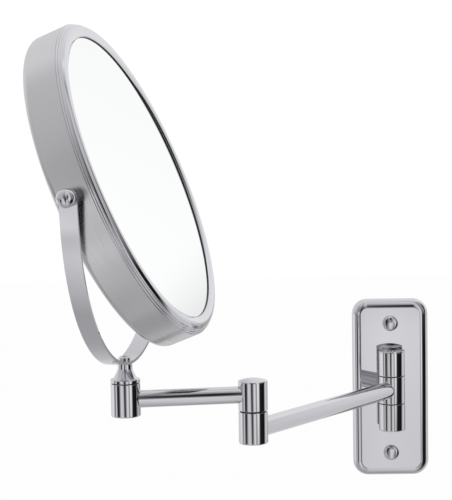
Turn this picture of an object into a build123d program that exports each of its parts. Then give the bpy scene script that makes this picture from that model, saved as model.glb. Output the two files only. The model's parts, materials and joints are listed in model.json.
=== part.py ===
from build123d import *
import os
from math import cos, pi, radians, sin, sqrt

# Extendable shaving mirror for a bathroom wall.
#
# A round, two-sided mirror hangs in a yoke. The yoke turns on a stem at the end of a jointed
# arm of two tubes, and the arm turns on a three-knuckle hinge on a screwed wall plate.
#
# Millimetres. +Z is up and the wall is the plane y = 0, with the mirror on its -Y side. The
# origin is the middle of the wall plate's back face. Angles are in degrees. A turn of an arm or
# of the mirror is measured from straight out of the wall (-Y), positive towards +X.

# ---- Wall plate ------------------------------------------------------------------------
plate_width = 52.0
plate_height = 123.0
plate_corner = 10.5        # radius of the outline's corners
plate_depth = 7.0          # wall to the plate's face
plate_edge_round = 6.0     # from that face round to the sides
plate_wall = 2.0           # thickness of the casting

screw_spacing = 90.0       # between the two wall screws
screw_hole_d = 5.2
screw_boss_d = 11.0        # solid pillar round each wall screw
cap_d = 10.4               # cover over each wall screw
cap_skirt = 1.0            # straight height of the cover's side
cap_bevel = 0.6            # height of the bevel above it
cap_face_d = 8.4           # dome inside the bevel
cap_dome = 1.2
cap_skin = 0.8
cap_seat = 0.5             # depth of the seat sunk in the plate
cap_gap = 0.1

# ---- Barrels and their bolts -----------------------------------------------------------
barrel_d = 18.0
barrel_round = 0.9         # the free ends
barrel_edge = 0.3          # the ends that meet another barrel
button_seam_edge = 0.1     # the end that a button closes
bolt_d = 6.0
bolt_head_d = 10.0
bolt_head_height = 3.6
bolt_head_bevel = 0.36
bolt_socket = 5.0          # across flats
bolt_socket_depth = 2.2
bolt_sink = 0.8            # how far the head sits inside the barrel
bolt_head_gap = 0.4
nut_flats = 10.0
nut_height = 5.0
nut_pocket_gap = 0.5
bolt_stub = 1.0            # thread that stands past the nut
spring_thickness = 0.7
spring_rise = 0.5
spring_gap = 0.2
running_gap = 0.06         # radial, of everything that turns
slip_washer_inset = 1.0    # the nylon washers are this much smaller than the barrels
plug_depth = 2.0           # how far an end cap reaches into its barrel
button_edge = 0.8          # straight side of the domed end caps
button_rise = 1.7

# ---- Wall hinge ------------------------------------------------------------------------
hinge_standoff = 18.0      # wall to the hinge axis
hinge_height = 54.1        # bottom of the lower barrel to the top of the upper one
middle_knuckle_height = 18.4
middle_knuckle_rise = 1.2  # its middle above the middle of the plate
hinge_washer = 0.5
foot_d = 11.0              # pillar from each fixed knuckle to the plate
foot_screw_d = 4.0
foot_screw_head_d = 7.6
foot_screw_head_height = 1.8
foot_screw_wall = 1.2      # left between that screw and the nut's pocket

# ---- Arms ------------------------------------------------------------------------------
rear_arm_length = 167.0    # hinge axis to elbow axis
rear_arm_rise = 1.1        # arm axis above the middle of the plate
rear_tube_d = 11.7
front_arm_length = 78.0    # elbow axis to swivel axis
front_tube_d = 10.5
tube_wall = 1.2
rear_arm_turn = -34.2
front_arm_turn = -80.6

# ---- Elbow -----------------------------------------------------------------------------
elbow_lower_height = 19.8
elbow_lower_drop = 8.5     # rear arm axis to the bottom of the lower barrel
elbow_washer = 0.8
elbow_upper_height = 17.3
elbow_upper_drop = 9.65    # front arm axis to the bottom of the upper barrel

# ---- Swivel and stem -------------------------------------------------------------------
swivel_height = 20.3
swivel_drop = 10.15        # front arm axis to the bottom of the swivel barrel
spindle_d = 8.0
bush_wall = 1.5
bush_flange = 0.5
swivel_recess_d = 13.0
swivel_recess_depth = 6.0
swivel_washer_d = 12.0
swivel_washer_thickness = 1.2
swivel_screw_d = 4.0
swivel_screw_head_d = 7.0
swivel_screw_head_height = 2.4
swivel_screw_head_round = 0.6
swivel_screw_socket = 2.8  # across flats
swivel_screw_socket_depth = 1.2
swivel_screw_grip = 9.0
collar_height = 2.2
collar_round = 0.6
stem_foot_d = 15.2         # flare, where it leaves the collar
stem_top_d = 8.9
stem_height = 9.6
stem_neck_fall = 3.5       # straight-sided stretch under the yoke

# ---- Yoke ------------------------------------------------------------------------------
yoke_clearance = 5.7       # side of the drum to the inside of the strip
yoke_thickness = 1.8
yoke_width = 10.5
yoke_screw_bite = 0.5      # shank inside the screw's head, which is curved below
yoke_screw_d = 4.0
yoke_screw_head_d = 7.4
yoke_screw_head_height = 2.2
yoke_screw_head_round = 1.1
yoke_screw_cross = 4.4     # length of the head's cross
yoke_screw_slot = 1.1      # its width, and its depth
yoke_screw_grip = 7.0
yoke_hole_gap = 0.1
pivot_d = 4.0
pivot_washer = 1.0
pivot_washer_d = 9.0

# ---- Mirror head -----------------------------------------------------------------------
head_turn = 78.7
head_tilt = 22.2           # the face looks up by this much
drum_radius = 100.0
drum_rear = 11.7           # pivot axis to the rear edge
drum_front = 10.6          # pivot axis to the seam with the bezel
drum_wall = 1.2
drum_round = 4.2           # rolled rear edge
lip_width = 8.0            # side of the drum to the opening of its rolled lip
pivot_hole_gap = 0.5

bezel_inset = 0.6          # how far the bezel stands in from the drum's side at the seam
bezel_steps = 2            # fine steps beside the seam
bezel_step_width = 0.7
bezel_step_height = 1.2
bezel_round = 4.4          # bead of the bezel, above the steps
bezel_width = 11.5         # side of the drum to the glass that shows
bezel_lip = 0.5            # thickness at the glass
bezel_fall = 2.7           # crest down to the glass
bezel_half_fall = 0.75     # how much of that lies in the outer half of the slope
bezel_wall = 1.3
bezel_block_gap = 0.6      # its skirt ends this far from the pivot blocks
glass_thickness = 3.0
glass_cover = 3.0          # glass hidden under the bezel's lip

magnifier_gap = 0.3        # between its edge and the start of the rolled edge
magnifier_curve_radius = 640.0    # radius of the concave face
ring_radial = 9.0          # spacer ring between the two glasses
ring_gap = 0.3
block_height = 14.0        # pivot block, along the drum's rim
block_width = 12.0         # pivot block, across the drum
block_depth = 6.5
pivot_boss_d = 10.0
dome_nut_radius = 5.5
dome_nut_base = 3.8        # middle of the ball above its flat face
stud_reach = 4.0           # thread inside the ball nut

# ---- Places worked out from the sizes ----------------------------------------------------
UP = Vector(0, 0, 1)
hinge_axis = Vector(0, -hinge_standoff, 0)

bore_d = bolt_d + 2 * running_gap
nut_pocket_d = nut_flats / cos(pi / 6) + 2 * nut_pocket_gap
nut_stack = spring_rise + spring_thickness + nut_height + bolt_stub
head_pocket_d = bolt_head_d + 2 * bolt_head_gap
head_pocket_depth = bolt_head_height + bolt_sink
slip_washer_d = barrel_d - 2 * slip_washer_inset

screw_levels = (screw_spacing / 2, -screw_spacing / 2)
hinge_top = hinge_height / 2
hinge_bottom = -hinge_height / 2
middle_top = middle_knuckle_rise + middle_knuckle_height / 2
middle_bottom = middle_knuckle_rise - middle_knuckle_height / 2
upper_foot = (hinge_top + middle_top + hinge_washer) / 2
lower_foot = (hinge_bottom + middle_bottom - hinge_washer) / 2
foot_screw_tip = hinge_standoff - nut_pocket_d / 2 - foot_screw_wall

rear_arm_z = rear_arm_rise
elbow_bottom = rear_arm_z - elbow_lower_drop
elbow_split = elbow_bottom + elbow_lower_height
upper_bottom = elbow_split + elbow_washer
upper_top = upper_bottom + elbow_upper_height
front_arm_z = upper_bottom + elbow_upper_drop
swivel_bottom = front_arm_z - swivel_drop
swivel_top = swivel_bottom + swivel_height
swivel_shelf = swivel_bottom + swivel_recess_depth
collar_bottom = swivel_top + bush_flange
collar_top = collar_bottom + collar_height
stem_top = collar_top + stem_height
yoke_inner = drum_radius + yoke_clearance
yoke_radius = yoke_inner + yoke_thickness
pivot_z = stem_top + yoke_radius

seam = drum_front
bead_foot = seam + bezel_steps * bezel_step_height
bezel_opening = drum_radius - bezel_width
lip_radius = drum_radius - lip_width
skirt_end = block_width / 2 + bezel_block_gap
bead_outer = drum_radius - bezel_inset - bezel_steps * bezel_step_width
bead_centre = bead_outer - bezel_round
crest = bead_foot + bezel_round
glass_front = crest - bezel_fall - bezel_lip
glass_back = glass_front - glass_thickness
glass_radius = bezel_opening + glass_cover
drum_inner = drum_radius - drum_wall
magnifier_radius = drum_radius - drum_round - magnifier_gap
lip_front = -drum_rear + drum_wall
boss_face = yoke_inner - pivot_washer


def direction(turn):
    """The level direction that a turn points in."""
    return Vector(sin(radians(turn)), -cos(radians(turn)), 0)


elbow_axis = hinge_axis + direction(rear_arm_turn) * rear_arm_length
swivel_axis = elbow_axis + direction(front_arm_turn) * front_arm_length
head_centre = swivel_axis + UP * pivot_z
pivot_line = UP.cross(direction(head_turn))
face_normal = direction(head_turn) * cos(radians(head_tilt)) + UP * sin(radians(head_tilt))

# X runs along the pivots in both frames. Z is level in the yoke's and leaves the glass in the
# head's, and Y points up.
yoke_frame = Plane(origin=head_centre, x_dir=pivot_line, z_dir=direction(head_turn)).location
head_frame = Plane(origin=head_centre, x_dir=pivot_line, z_dir=face_normal).location


# ---- Helpers -----------------------------------------------------------------------------
def post(diameter, bottom, top):
    """A cylinder on the Z axis between two heights."""
    upright = (Align.CENTER, Align.CENTER, Align.MIN)
    return Pos(0, 0, bottom) * Cylinder(diameter / 2, top - bottom, align=upright)


def collar(outer_d, inner_d, bottom, top):
    """A ring on the Z axis between two heights."""
    return post(outer_d, bottom, top) - post(inner_d, bottom, top)


def rod(diameter, start, end):
    """A cylinder on the X axis between two distances."""
    return Rot(0, 90, 0) * post(diameter, start, end)


def spun(outline):
    """A closed outline in the XZ half-plane, turned about the Z axis."""
    return revolve(Plane.XZ * make_face(outline), Axis.Z)


def dome_arc(radius, edge, rise):
    """The section of a dome, from its edge up to its crown on the axis."""
    sphere = (radius**2 + rise**2) / (2 * rise)
    midway = radius / 2
    middle = edge + rise - sphere + sqrt(sphere**2 - midway**2)
    return ThreePointArc((radius, edge), (midway, middle), (0, edge + rise))


def ring_edge(solid, lowest):
    """The lowest or the highest round edge of an upright solid."""
    edges = solid.edges().filter_by(GeomType.CIRCLE).sort_by(Axis.Z)
    return edges[0] if lowest else edges[-1]


def barrel(bottom, top, bottom_round, top_round):
    """A solid barrel with rounded end edges, on the Z axis."""
    solid = post(barrel_d, bottom, top)
    solid = fillet(ring_edge(solid, True), bottom_round)
    return fillet(ring_edge(solid, False), top_round)


def hexagon(flats, bottom, top):
    """A hexagonal bar on the Z axis."""
    outline = RegularPolygon(flats / 2, 6, major_radius=False)
    return Pos(0, 0, bottom) * extrude(outline, top - bottom)


def pair(solid):
    """A solid and its copy on the other side of the pivot axis's middle."""
    return Compound(children=[solid, Rot(0, 0, 180) * solid])


def place_at(axis, shape):
    """Moves a shape from the origin to an upright axis."""
    return Pos(axis.X, axis.Y, 0) * shape


# ---- Bolt, nut and spring washer that load each friction joint -----------------------------
def socket_bolt(bottom, top):
    """A bolt whose head hangs below the height bottom; top is the end of its thread."""
    head = post(bolt_head_d, bottom - bolt_head_height, bottom)
    head = chamfer(ring_edge(head, True), bolt_head_bevel)
    socket_bottom = bottom - bolt_head_height
    socket = hexagon(bolt_socket, socket_bottom, socket_bottom + bolt_socket_depth)
    return head + post(bolt_d, bottom, top) - socket


def spring_washer(bottom):
    """A coned disc that stands on its outer edge."""
    inner = bolt_d / 2 + spring_gap
    outer = nut_pocket_d / 2 - spring_gap
    top = bottom + spring_rise
    return spun(
        Polyline(
            (inner, top),
            (outer, bottom),
            (outer, bottom + spring_thickness),
            (inner, top + spring_thickness),
            close=True,
        )
    )


def lock_nut(bottom):
    """A hexagonal nut with bevelled corners, threaded on the bolt."""
    bar = hexagon(nut_flats, bottom, bottom + nut_height)
    corner_d = nut_flats / cos(pi / 6)
    turned_blank = chamfer(
        post(corner_d, bottom, bottom + nut_height).edges().filter_by(GeomType.CIRCLE),
        (corner_d - nut_flats) / 2,
    )
    return (bar & turned_blank) - post(bolt_d, bottom, bottom + nut_height)


def nut_shelf(top):
    """Height of the shelf that the spring washer stands on, in a barrel that ends at top."""
    return top - plug_depth - nut_stack


def bolt_room(bottom, top, head=False, nut=False):
    """The room that the bolt, its head and its nut need in a barrel."""
    room = post(bore_d, bottom, top)
    if head:
        room = room + post(head_pocket_d, bottom, bottom + head_pocket_depth)
    if nut:
        room = room + post(nut_pocket_d, nut_shelf(top), top)
    return room


def end_button(top):
    """A domed button that closes a barrel, flush with its side; its spigot ends at the bolt."""
    edge = top + button_edge
    half = barrel_d / 2
    outline = Polyline((0, top), (half, top), (half, edge))
    outline += dome_arc(half, edge, button_rise)
    outline += Line((0, edge + button_rise), (0, top))
    return spun(outline) + post(nut_pocket_d, top - plug_depth, top)


# ---- Wall bracket ----------------------------------------------------------------------------
def slab(width, height, corner, start, end):
    """A rounded plate parallel to the wall, between two distances from it."""
    return extrude(Plane.XZ.offset(start) * RectangleRounded(width, height, corner), end - start)


def from_wall(diameter, level, start, end):
    """A cylinder square to the wall at a height, between two distances from it."""
    return Pos(0, 0, level) * Rot(90, 0, 0) * post(diameter, start, end)


def wall_plate():
    """A cast plate with a round edge; its back is hollow, with pillars for the wall screws."""
    back = plate_depth - plate_wall
    plate = slab(plate_width, plate_height, plate_corner, 0, plate_depth)
    plate = fillet(plate.faces().sort_by(Axis.Y)[0].edges(), plate_edge_round)
    hollow = slab(
        plate_width - 2 * plate_wall,
        plate_height - 2 * plate_wall,
        plate_corner - plate_wall,
        0,
        back,
    )
    hollow = fillet(hollow.faces().sort_by(Axis.Y)[0].edges(), plate_edge_round - plate_wall)
    for level in screw_levels:
        hollow = hollow - from_wall(screw_boss_d, level, 0, back)
    plate = plate - hollow
    for level in screw_levels:
        plate = plate - from_wall(screw_hole_d, level, 0, plate_depth)
        plate = plate - from_wall(cap_d + 2 * cap_gap, level, plate_depth - cap_seat, plate_depth)
    for level in (upper_foot, lower_foot):
        plate = plate - from_wall(foot_screw_d, level, back, plate_depth)
    return plate


def screw_caps():
    """Hollow domed covers that snap over the heads of the two wall screws."""
    side = cap_d / 2
    inside = side - cap_skin
    face = cap_face_d / 2
    face_edge = cap_skirt + cap_bevel
    crown = face_edge + cap_dome
    outline = Polyline((inside, 0), (side, 0), (side, cap_skirt), (face, face_edge))
    outline += dome_arc(face, face_edge, cap_dome)
    outline += Line((0, crown), (0, crown - cap_skin))
    outline += dome_arc(inside, cap_skirt, crown - cap_skin - cap_skirt)
    outline += Line((inside, cap_skirt), (inside, 0))
    cap = Rot(90, 0, 0) * Pos(0, 0, plate_depth - cap_seat) * spun(outline)
    return Compound(children=[Pos(0, 0, level) * cap for level in screw_levels])


def footed(body, level):
    """A fixed barrel with its pillar to the plate and the hole for its screw."""
    foot = from_wall(foot_d, level, plate_depth, hinge_standoff)
    return body + foot - from_wall(foot_screw_d, level, plate_depth, foot_screw_tip)


def upper_knuckle():
    """The fixed barrel above the arm; the nut lies in its open top."""
    bottom = middle_top + hinge_washer
    body = place_at(hinge_axis, barrel(bottom, hinge_top, barrel_edge, button_seam_edge))
    room = bolt_room(bottom, hinge_top, nut=True)
    return footed(body, upper_foot) - place_at(hinge_axis, room)


def lower_knuckle():
    """The fixed barrel below the arm; the bolt's head lies in its open bottom."""
    top = middle_bottom - hinge_washer
    body = place_at(hinge_axis, barrel(hinge_bottom, top, barrel_round, barrel_edge))
    room = bolt_room(hinge_bottom, top, head=True)
    return footed(body, lower_foot) - place_at(hinge_axis, room)


def knuckle_screws():
    """Pan-head screws from the plate's hollow back into the feet of the fixed knuckles."""
    back = plate_depth - plate_wall
    screws = []
    for level in (upper_foot, lower_foot):
        head = from_wall(foot_screw_head_d, level, back - foot_screw_head_height, back)
        screws.append(head + from_wall(foot_screw_d, level, back, foot_screw_tip))
    return Compound(children=screws)


def hinge_bolt():
    thread_end = nut_shelf(hinge_top) + nut_stack
    return place_at(hinge_axis, socket_bolt(hinge_bottom + head_pocket_depth, thread_end))


def hinge_washers():
    """Nylon slip washers on both faces of the middle knuckle."""
    upper = collar(slip_washer_d, bore_d, middle_top, middle_top + hinge_washer)
    lower = collar(slip_washer_d, bore_d, middle_bottom - hinge_washer, middle_bottom)
    return Compound(children=[place_at(hinge_axis, upper), place_at(hinge_axis, lower)])


# ---- Arms --------------------------------------------------------------------------------------
def arm_tube(start, turn, length, level, diameter):
    """A tube between two upright barrels, its ends cut to sit on their round sides."""
    run = Rot(0, 90, 0) * collar(diameter, diameter - 2 * tube_wall, 0, length)
    for end in (0, length):
        run = run - Pos(end, 0, 0) * post(barrel_d, -barrel_d, barrel_d)
    return Pos(start.X, start.Y, level) * Rot(0, 0, turn - 90) * run


def middle_knuckle():
    """The barrel of the rear arm that turns between the fixed ones."""
    solid = barrel(middle_bottom, middle_top, barrel_edge, barrel_edge)
    return place_at(hinge_axis, solid - bolt_room(middle_bottom, middle_top))


def elbow_lower_barrel():
    solid = barrel(elbow_bottom, elbow_split, barrel_round, barrel_edge)
    return place_at(elbow_axis, solid - bolt_room(elbow_bottom, elbow_split, head=True))


def elbow_upper_barrel():
    solid = barrel(upper_bottom, upper_top, barrel_edge, button_seam_edge)
    return place_at(elbow_axis, solid - bolt_room(upper_bottom, upper_top, nut=True))


def elbow_bolt():
    end = nut_shelf(upper_top) + nut_stack
    return place_at(elbow_axis, socket_bolt(elbow_bottom + head_pocket_depth, end))


def swivel_barrel():
    """The barrel at the end of the front arm, bored for the bush and recessed below."""
    solid = barrel(swivel_bottom, swivel_top, barrel_round, barrel_edge)
    solid = solid - post(spindle_d + 2 * bush_wall, swivel_bottom, swivel_top)
    solid = solid - post(swivel_recess_d, swivel_bottom, swivel_shelf)
    return place_at(swivel_axis, solid)


def swivel_bush():
    """A flanged nylon bush for the spindle."""
    spindle_bore = spindle_d + 2 * running_gap
    sleeve = collar(spindle_d + 2 * bush_wall, spindle_bore, swivel_shelf, swivel_top)
    flange = collar(slip_washer_d, spindle_bore, swivel_top, collar_bottom)
    return place_at(swivel_axis, sleeve + flange)


# ---- Yoke ----------------------------------------------------------------------------------------
def swivel_stem():
    """Spindle, collar and flared stem in one turned piece; its top is hollowed to fit the yoke."""
    foot, top = stem_foot_d / 2, stem_top_d / 2
    neck = stem_top - stem_neck_fall
    above = stem_top + yoke_thickness
    outline = Line((0, collar_top), (foot, collar_top))
    outline += Bezier(
        (foot, collar_top),
        ((foot + top) / 2, collar_top + (neck - collar_top) / 3),
        (top + (foot - top) / 8, neck - (neck - collar_top) / 4),
        (top, neck),
    )
    outline += Line((top, neck), (top, above))
    outline += Line((top, above), (0, above))
    outline += Line((0, above), (0, collar_top))
    ring = post(barrel_d, collar_bottom, collar_top)
    ring = fillet(ring_edge(ring, False), collar_round)
    solid = spun(outline) + ring + post(spindle_d, swivel_shelf, collar_bottom)
    solid = solid - post(swivel_screw_d, swivel_shelf, swivel_shelf + swivel_screw_grip)
    solid = solid - post(yoke_screw_d, stem_top - yoke_screw_grip, above)
    return place_at(swivel_axis, solid) - yoke_frame * extrude(
        Circle(yoke_radius), yoke_width, both=True
    )


def swivel_washer():
    below = swivel_shelf - swivel_washer_thickness
    return place_at(swivel_axis, collar(swivel_washer_d, swivel_screw_d, below, swivel_shelf))


def swivel_screw():
    """Holds the spindle down in its bush."""
    seat = swivel_shelf - swivel_washer_thickness
    head = post(swivel_screw_head_d, seat - swivel_screw_head_height, seat)
    head = fillet(ring_edge(head, True), swivel_screw_head_round)
    bottom = seat - swivel_screw_head_height
    head = head - hexagon(swivel_screw_socket, bottom, bottom + swivel_screw_socket_depth)
    shank = post(swivel_screw_d, seat, swivel_shelf + swivel_screw_grip)
    return place_at(swivel_axis, head + shank)


def yoke_strip():
    """A flat strip bent to half a circle, with upright ears round the pivots."""
    half_width = yoke_width / 2
    reach = 2 * yoke_radius
    bow = Circle(yoke_radius) - Circle(yoke_inner)
    bow = bow & Pos(0, -reach) * Rectangle(2 * reach, 2 * reach)
    for side in (1, -1):
        middle = side * (yoke_radius + yoke_inner) / 2
        ear = Rectangle(yoke_thickness, half_width, align=(Align.CENTER, Align.MIN))
        bow = bow + Pos(middle, 0) * ear
    strip = extrude(bow, half_width, both=True)
    side_view = Circle(half_width) + Pos(0, -reach / 2) * Rectangle(yoke_width, reach)
    strip = strip & extrude(Plane.ZY * side_view, reach, both=True)
    strip = strip - rod(pivot_d + 2 * running_gap, -yoke_radius, yoke_radius)
    strip = strip - rod(pivot_washer_d, -yoke_inner, yoke_inner)
    hole = Rot(90, 0, 0) * post(yoke_screw_d + 2 * yoke_hole_gap, yoke_inner / 2, yoke_radius)
    return yoke_frame * (strip - hole)


def yoke_screw():
    """A cross-head screw that holds the strip on the stem; its seat follows the strip's curve."""
    head_top = yoke_screw_head_height - yoke_inner
    head = post(yoke_screw_head_d, -yoke_radius, head_top)
    head = fillet(ring_edge(head, False), yoke_screw_head_round)
    slot = Box(yoke_screw_cross, yoke_screw_slot, 2 * yoke_screw_slot)
    for turn in (0, 90):
        head = head - Pos(0, 0, head_top) * Rot(0, 0, turn) * slot
    seat = Rot(90, 0, 0) * post(2 * yoke_inner, -yoke_width, yoke_width)
    shank_top = yoke_screw_bite - yoke_inner
    shank = post(yoke_screw_d, -yoke_radius - yoke_screw_grip, shank_top)
    return yoke_frame * Rot(-90, 0, 0) * ((head & seat) + shank)


def pivot_washers():
    """Nylon washers in the spot-faced seats inside the yoke's ears."""
    washer = rod(pivot_washer_d, boss_face, yoke_inner)
    washer = washer - rod(pivot_d + 2 * running_gap, boss_face, yoke_inner)
    return yoke_frame * pair(washer)


# ---- Mirror head ---------------------------------------------------------------------------------
def drum_band():
    """A drawn ring with a rolled rear edge and an inward lip that holds the rear glass."""
    back = -drum_rear
    inner_round = drum_round - drum_wall
    roll_z = back + drum_round
    roll_r = drum_radius - drum_round
    diagonal = sqrt(0.5)
    outline = Line((lip_radius, back), (roll_r, back))
    outline += ThreePointArc(
        (roll_r, back),
        (roll_r + drum_round * diagonal, roll_z - drum_round * diagonal),
        (drum_radius, roll_z),
    )
    outline += Line((drum_radius, roll_z), (drum_radius, seam))
    outline += Line((drum_radius, seam), (drum_inner, seam))
    outline += Line((drum_inner, seam), (drum_inner, roll_z))
    outline += ThreePointArc(
        (drum_inner, roll_z),
        (roll_r + inner_round * diagonal, roll_z - inner_round * diagonal),
        (roll_r, lip_front),
    )
    outline += Line((roll_r, lip_front), (lip_radius, lip_front))
    outline += Line((lip_radius, lip_front), (lip_radius, back))
    band = spun(outline)
    hole = rod(pivot_d + 2 * pivot_hole_gap, -yoke_inner, yoke_inner)
    return head_frame * (band - hole)


def front_bezel():
    """A stepped, beaded ring that snaps into the drum and holds the front glass."""
    diagonal = sqrt(0.5)
    inner_round = bezel_round - bezel_wall
    slope_middle = (bead_centre + bezel_opening) / 2
    lip_top = glass_front + bezel_lip
    skirt_inner = drum_inner - bezel_wall
    steps = [(drum_inner, seam)]
    for count in range(bezel_steps):
        radius = drum_radius - bezel_inset - count * bezel_step_width
        steps.append((radius, seam + count * bezel_step_height))
        steps.append((radius, seam + (count + 1) * bezel_step_height))
    steps.append((bead_outer, bead_foot))
    outline = Polyline(*steps)
    outline += ThreePointArc(
        (bead_outer, bead_foot),
        (bead_centre + bezel_round * diagonal, bead_foot + bezel_round * diagonal),
        (bead_centre, crest),
    )
    outline += ThreePointArc(
        (bead_centre, crest), (slope_middle, crest - bezel_half_fall), (bezel_opening, lip_top)
    )
    inner_crest = crest - bezel_wall
    ledge = glass_radius
    outline += Polyline((bezel_opening, lip_top), (bezel_opening, glass_front), (ledge, glass_front))
    outline += Line((ledge, glass_front), (bead_centre, inner_crest))
    outline += ThreePointArc(
        (bead_centre, inner_crest),
        (bead_centre + inner_round * diagonal, bead_foot + inner_round * diagonal),
        (bead_centre + inner_round, bead_foot),
    )
    outline += Polyline(
        (bead_centre + inner_round, bead_foot),
        (skirt_inner, seam),
        (skirt_inner, skirt_end),
        (drum_inner, skirt_end),
        (drum_inner, seam),
    )
    return head_frame * spun(outline)


def front_glass():
    """The plain mirror."""
    glass = post(2 * glass_radius, glass_back, glass_front)
    return head_frame * glass


def magnifier_sag(radius):
    """How much nearer the middle the concave face is than at its rim."""
    return magnifier_curve_radius - sqrt(magnifier_curve_radius**2 - radius**2)


def magnifying_glass():
    """A bent glass of even thickness; its hollow side looks out at the rear."""
    rim = magnifier_radius
    middle = lip_front + magnifier_sag(rim)
    half = rim / 2
    outline = ThreePointArc(
        (0, middle), (half, middle - magnifier_sag(half)), (rim, lip_front)
    )
    outline += Line((rim, lip_front), (rim, lip_front + glass_thickness))
    outline += ThreePointArc(
        (rim, lip_front + glass_thickness),
        (half, middle + glass_thickness - magnifier_sag(half)),
        (0, middle + glass_thickness),
    )
    outline += Line((0, middle + glass_thickness), (0, middle))
    return head_frame * spun(outline)


def block_blank(gap):
    """The pivot block's box, larger all round by a gap, before its round side is cut."""
    centre = drum_inner - block_depth / 2
    return Pos(centre, 0, 0) * Box(block_depth + 2 * gap, block_height + 2 * gap, block_width + 2 * gap)


def spacer_ring():
    """A moulded ring that holds the two glasses apart, notched for the pivot blocks."""
    outer = drum_inner - bezel_wall - ring_gap
    inner = outer - ring_radial
    floor = lip_front + glass_thickness
    outline = Line((inner, glass_back), (outer, glass_back))
    outline += Line((outer, glass_back), (outer, floor))
    outline += Line((outer, floor), (inner, floor + magnifier_sag(magnifier_radius) - magnifier_sag(inner)))
    outline += Line(
        (inner, floor + magnifier_sag(magnifier_radius) - magnifier_sag(inner)), (inner, glass_back)
    )
    ring = spun(outline)
    for half_turn in (0, 180):
        ring = ring - Rot(0, 0, half_turn) * block_blank(ring_gap)
    return head_frame * ring


def pivot_blocks():
    """Threaded blocks inside the drum, curved to its wall."""
    block = block_blank(0) & post(2 * drum_inner, -block_width, block_width)
    block = block - rod(pivot_d, 0, drum_radius)
    return head_frame * pair(block)


def pivot_bosses():
    """Distance pieces between the drum and the yoke, hollowed to sit on the drum."""
    boss = rod(pivot_boss_d, drum_inner, boss_face) - rod(pivot_d, drum_inner, boss_face)
    boss = boss - post(2 * drum_radius, -pivot_boss_d, pivot_boss_d)
    return head_frame * pair(boss)


def pivot_studs():
    inner_end = drum_inner - block_depth
    return head_frame * pair(rod(pivot_d, inner_end, yoke_radius + stud_reach))


def dome_nuts():
    """Ball nuts outside the yoke's ears."""
    ball = Pos(yoke_radius + dome_nut_base, 0, 0) * Sphere(dome_nut_radius)
    ball = ball - rod(3 * dome_nut_radius, yoke_radius - dome_nut_radius, yoke_radius)
    return head_frame * pair(ball - rod(pivot_d, yoke_radius, yoke_radius + stud_reach))


# ---- All the pieces, each to its own file ----------------------------------------------------------
elbow_nut_bottom = nut_shelf(upper_top) + spring_rise + spring_thickness
hinge_nut_bottom = nut_shelf(hinge_top) + spring_rise + spring_thickness

pieces = {
    "wall_plate": wall_plate(),
    "screw_caps": screw_caps(),
    "upper_knuckle": upper_knuckle(),
    "lower_knuckle": lower_knuckle(),
    "knuckle_screws": knuckle_screws(),
    "hinge_bolt": hinge_bolt(),
    "hinge_washers": hinge_washers(),
    "hinge_spring_washer": place_at(hinge_axis, spring_washer(nut_shelf(hinge_top))),
    "hinge_nut": place_at(hinge_axis, lock_nut(hinge_nut_bottom)),
    "hinge_cap": place_at(hinge_axis, end_button(hinge_top)),
    "middle_knuckle": middle_knuckle(),
    "rear_arm_tube": arm_tube(
        hinge_axis, rear_arm_turn, rear_arm_length, rear_arm_z, rear_tube_d
    ),
    "elbow_lower_barrel": elbow_lower_barrel(),
    "elbow_bolt": elbow_bolt(),
    "elbow_washer": place_at(elbow_axis, collar(slip_washer_d, bore_d, elbow_split, upper_bottom)),
    "elbow_spring_washer": place_at(elbow_axis, spring_washer(nut_shelf(upper_top))),
    "elbow_nut": place_at(elbow_axis, lock_nut(elbow_nut_bottom)),
    "elbow_upper_barrel": elbow_upper_barrel(),
    "elbow_cap": place_at(elbow_axis, end_button(upper_top)),
    "front_arm_tube": arm_tube(
        elbow_axis, front_arm_turn, front_arm_length, front_arm_z, front_tube_d
    ),
    "swivel_barrel": swivel_barrel(),
    "swivel_bush": swivel_bush(),
    "swivel_stem": swivel_stem(),
    "swivel_washer": swivel_washer(),
    "swivel_screw": swivel_screw(),
    "yoke_strip": yoke_strip(),
    "yoke_screw": yoke_screw(),
    "pivot_washers": pivot_washers(),
    "drum_band": drum_band(),
    "front_bezel": front_bezel(),
    "front_glass": front_glass(),
    "magnifying_glass": magnifying_glass(),
    "spacer_ring": spacer_ring(),
    "pivot_blocks": pivot_blocks(),
    "pivot_bosses": pivot_bosses(),
    "pivot_studs": pivot_studs(),
    "dome_nuts": dome_nuts(),
}

os.makedirs("parts", exist_ok=True)
for name, piece in pieces.items():
    export_step(piece, f"parts/{name}.step")

print("elbow axis", elbow_axis, "swivel axis", swivel_axis)
print("head centre", head_centre, "pivot line", pivot_line)
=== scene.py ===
# %% [markdown]
# # An extendable shaving mirror, dressed in Blender
#
# The object is a round two-sided mirror on a jointed arm. Its solids are already made and packed,
# with every moving part on a body of its own. This file gives them their finish. Pieces whose
# reflections have to run smoothly are turned and bent again here with bmesh operators, on the same
# axes and to the same sizes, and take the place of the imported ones.

import json
from math import asin, atan2, cos, degrees, pi, radians, sin, sqrt, tan, tau

import bmesh
import bpy
from mathutils import Matrix, Vector
from mathutils.geometry import interpolate_bezier


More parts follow.
